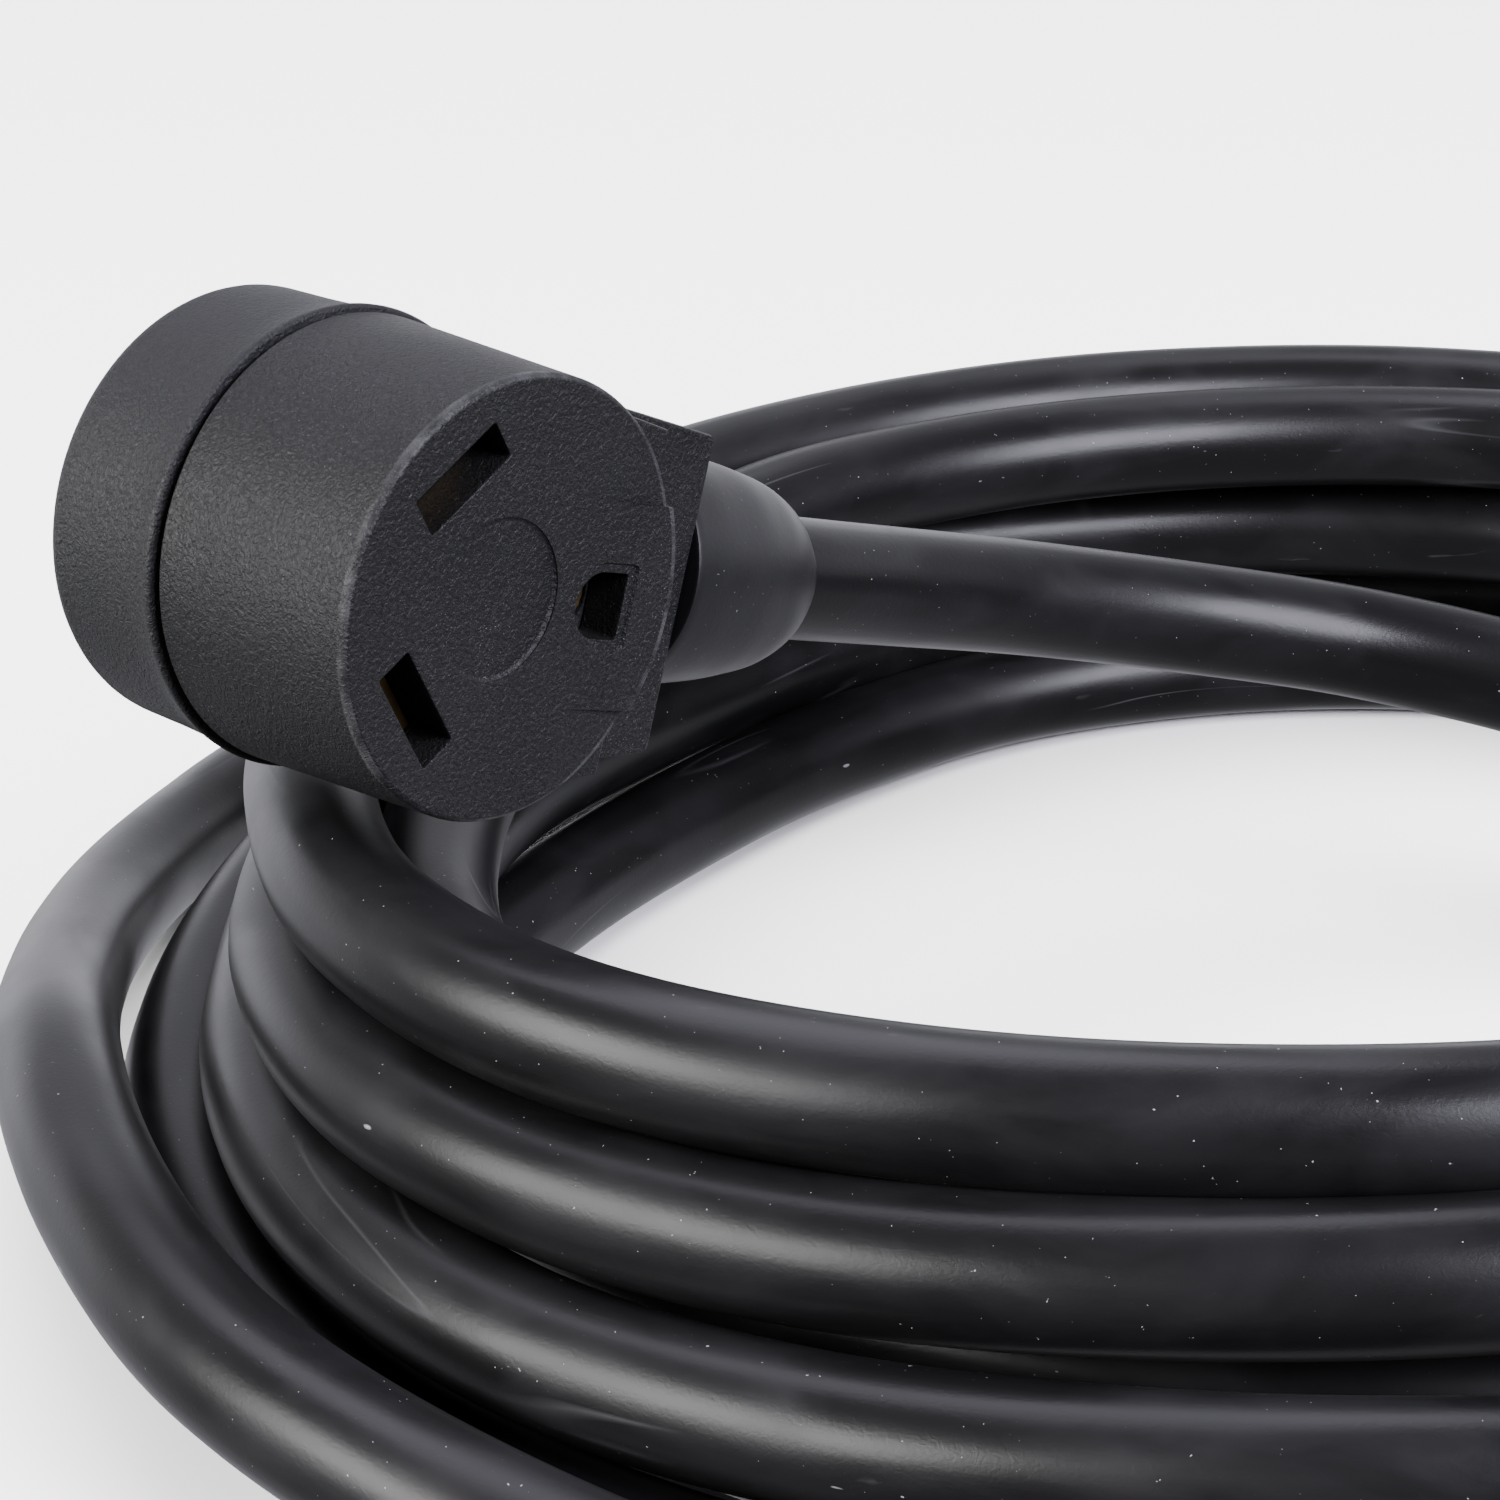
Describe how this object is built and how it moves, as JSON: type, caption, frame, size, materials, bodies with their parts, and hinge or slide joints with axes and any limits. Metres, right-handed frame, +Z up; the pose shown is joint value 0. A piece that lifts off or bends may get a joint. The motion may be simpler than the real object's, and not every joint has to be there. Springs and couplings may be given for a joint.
{
  "type": "shore power cord",
  "caption": "Heavy round vehicle power cord in a loose coil, with a right-angle female connector on top and its male plug beside the coil.",
  "frame": {"origin": "middle of the whole object's footprint, on the floor it lies on", "axes": "+Z up from the floor; -Y is the way the female connector's mating face looks, within 1.7 degrees; +X is the way the male plug's blades point and the longest side"},
  "size_m": [0.4524, 0.376, 0.1213],
  "materials": {
    "shell_plastic": "fine moulded grain, near black",
    "cap_plastic": "fine moulded grain, charcoal",
    "relief_rubber": "smooth satin, dark grey",
    "jacket_rubber": "satin black with scuffs and dust",
    "carrier_plastic": "plain grey",
    "brass": "bright",
    "steel": "plated",
    "core_black": "insulation",
    "core_white": "insulation",
    "core_green": "insulation"
  },
  "bodies": {
    "root": {"connector_front_shell": "shell_plastic", "connector_rear_cap": "cap_plastic", "connector_strain_relief": "relief_rubber", "connector_contact_carrier": "carrier_plastic", "connector_line_contact": "brass", "connector_neutral_contact": "brass", "connector_earth_contact": "brass", "connector_line_core": "core_black", "connector_neutral_core": "core_white", "connector_earth_core": "core_green", "connector_cap_screw_1": "steel", "connector_cap_screw_2": "steel", "connector_cap_screw_3": "steel", "cord_neck": "jacket_rubber", "cord_coil": "jacket_rubber", "cord_lead": "jacket_rubber", "plug_front_shell": "shell_plastic", "plug_rear_cap": "cap_plastic", "plug_strain_relief": "relief_rubber", "plug_blade_carrier": "carrier_plastic", "plug_line_blade": "brass", "plug_neutral_blade": "brass", "plug_earth_pin": "brass", "plug_line_core": "core_black", "plug_neutral_core": "core_white", "plug_earth_core": "core_green", "plug_cap_screw_1": "steel", "plug_cap_screw_2": "steel", "plug_cap_screw_3": "steel"}
  },
  "joints": []
}
